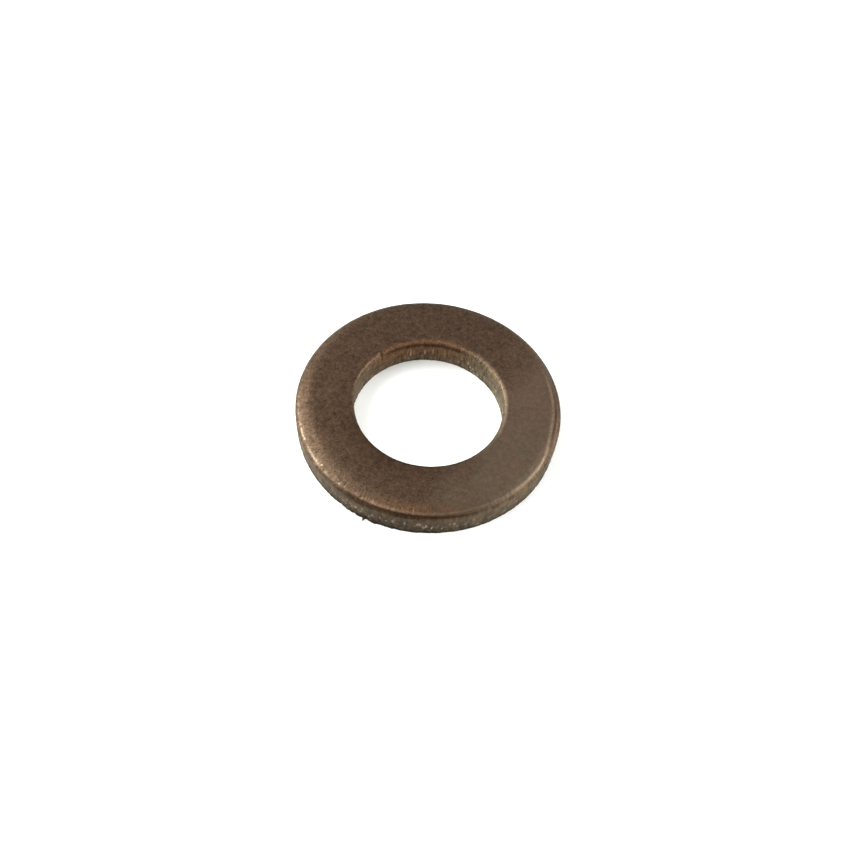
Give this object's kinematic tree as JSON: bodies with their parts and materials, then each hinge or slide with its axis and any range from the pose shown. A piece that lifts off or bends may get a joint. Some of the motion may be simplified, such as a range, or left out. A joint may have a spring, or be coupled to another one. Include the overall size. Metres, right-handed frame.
{
  "type": "flat washer",
  "caption": "Flat stamped metal washer: a thin ring with rolled upper edges that goes under a screw head or nut and spreads its load.",
  "frame": {"origin": "middle of the hole on the lower face, the face that the washer lies on", "axes": "+Z along the hole's axis, out of the upper face with the rolled edges; X and Y lie in the lower face"},
  "size_m": [0.015, 0.015, 0.0018],
  "materials": {
    "bronze": "satin"
  },
  "bodies": {
    "root": {"washer": "bronze"}
  },
  "joints": []
}
